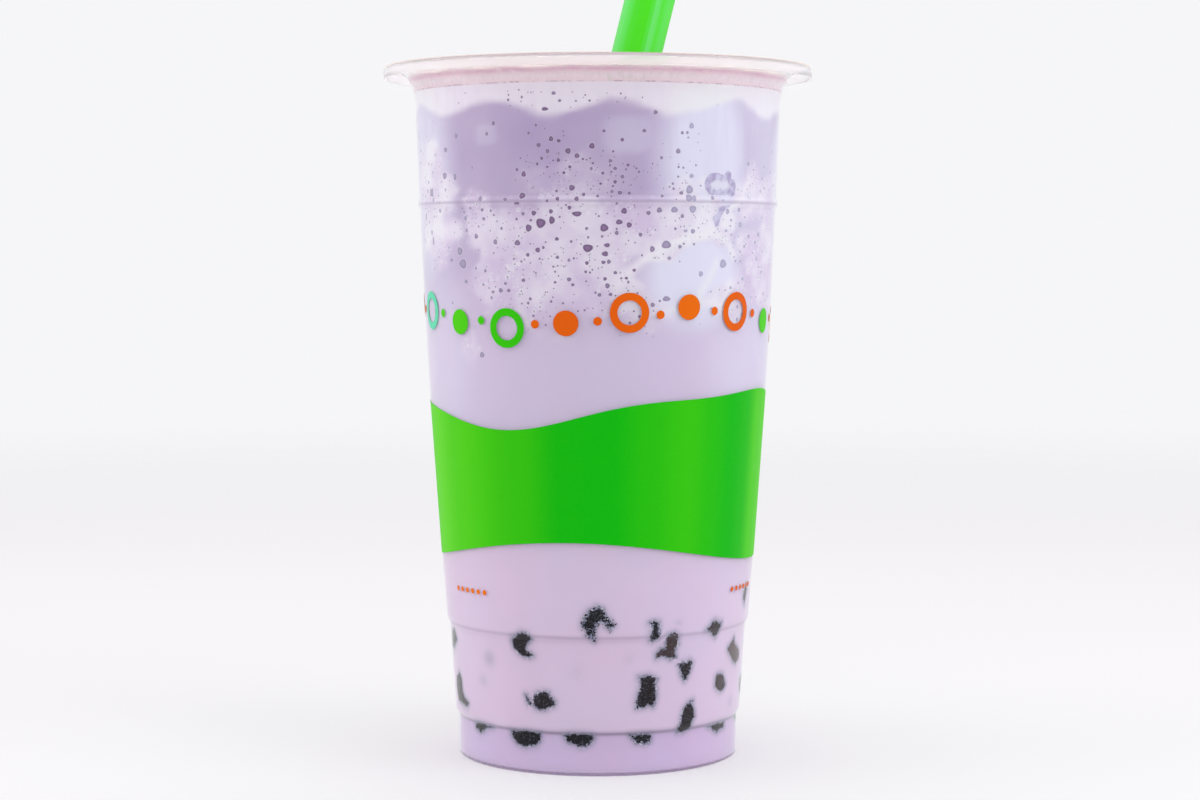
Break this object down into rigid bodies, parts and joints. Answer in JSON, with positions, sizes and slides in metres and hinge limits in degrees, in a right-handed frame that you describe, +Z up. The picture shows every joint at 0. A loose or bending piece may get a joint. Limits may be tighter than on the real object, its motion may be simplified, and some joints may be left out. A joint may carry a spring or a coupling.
{
  "type": "taro bubble tea",
  "caption": "Clear sealed cup of milk tea with a froth layer and tapioca pearls, closed by a film that a wide slanted straw goes through.",
  "frame": {"origin": "middle of the cup's foot, on the table", "axes": "+Z up along the cup's axis; +X to the side that the straw leans to; the picture looks along +Y"},
  "size_m": [0.095, 0.095, 0.2166],
  "materials": {
    "clear_polypropylene": "clear injection-moulded plastic, glossy outside, with a printed green band",
    "taro_milk_tea": "opaque pale purple milk tea, wet",
    "milk_froth": "whitish lilac froth full of small bubbles",
    "peach_film": "thin pale peach sealing film, slightly see-through",
    "green_straw_plastic": "bright green extruded plastic tube"
  },
  "bodies": {
    "root": {"cup": "clear_polypropylene", "milk_tea": "taro_milk_tea", "froth": "milk_froth", "sealing_film": "peach_film", "straw": "green_straw_plastic"}
  },
  "joints": []
}
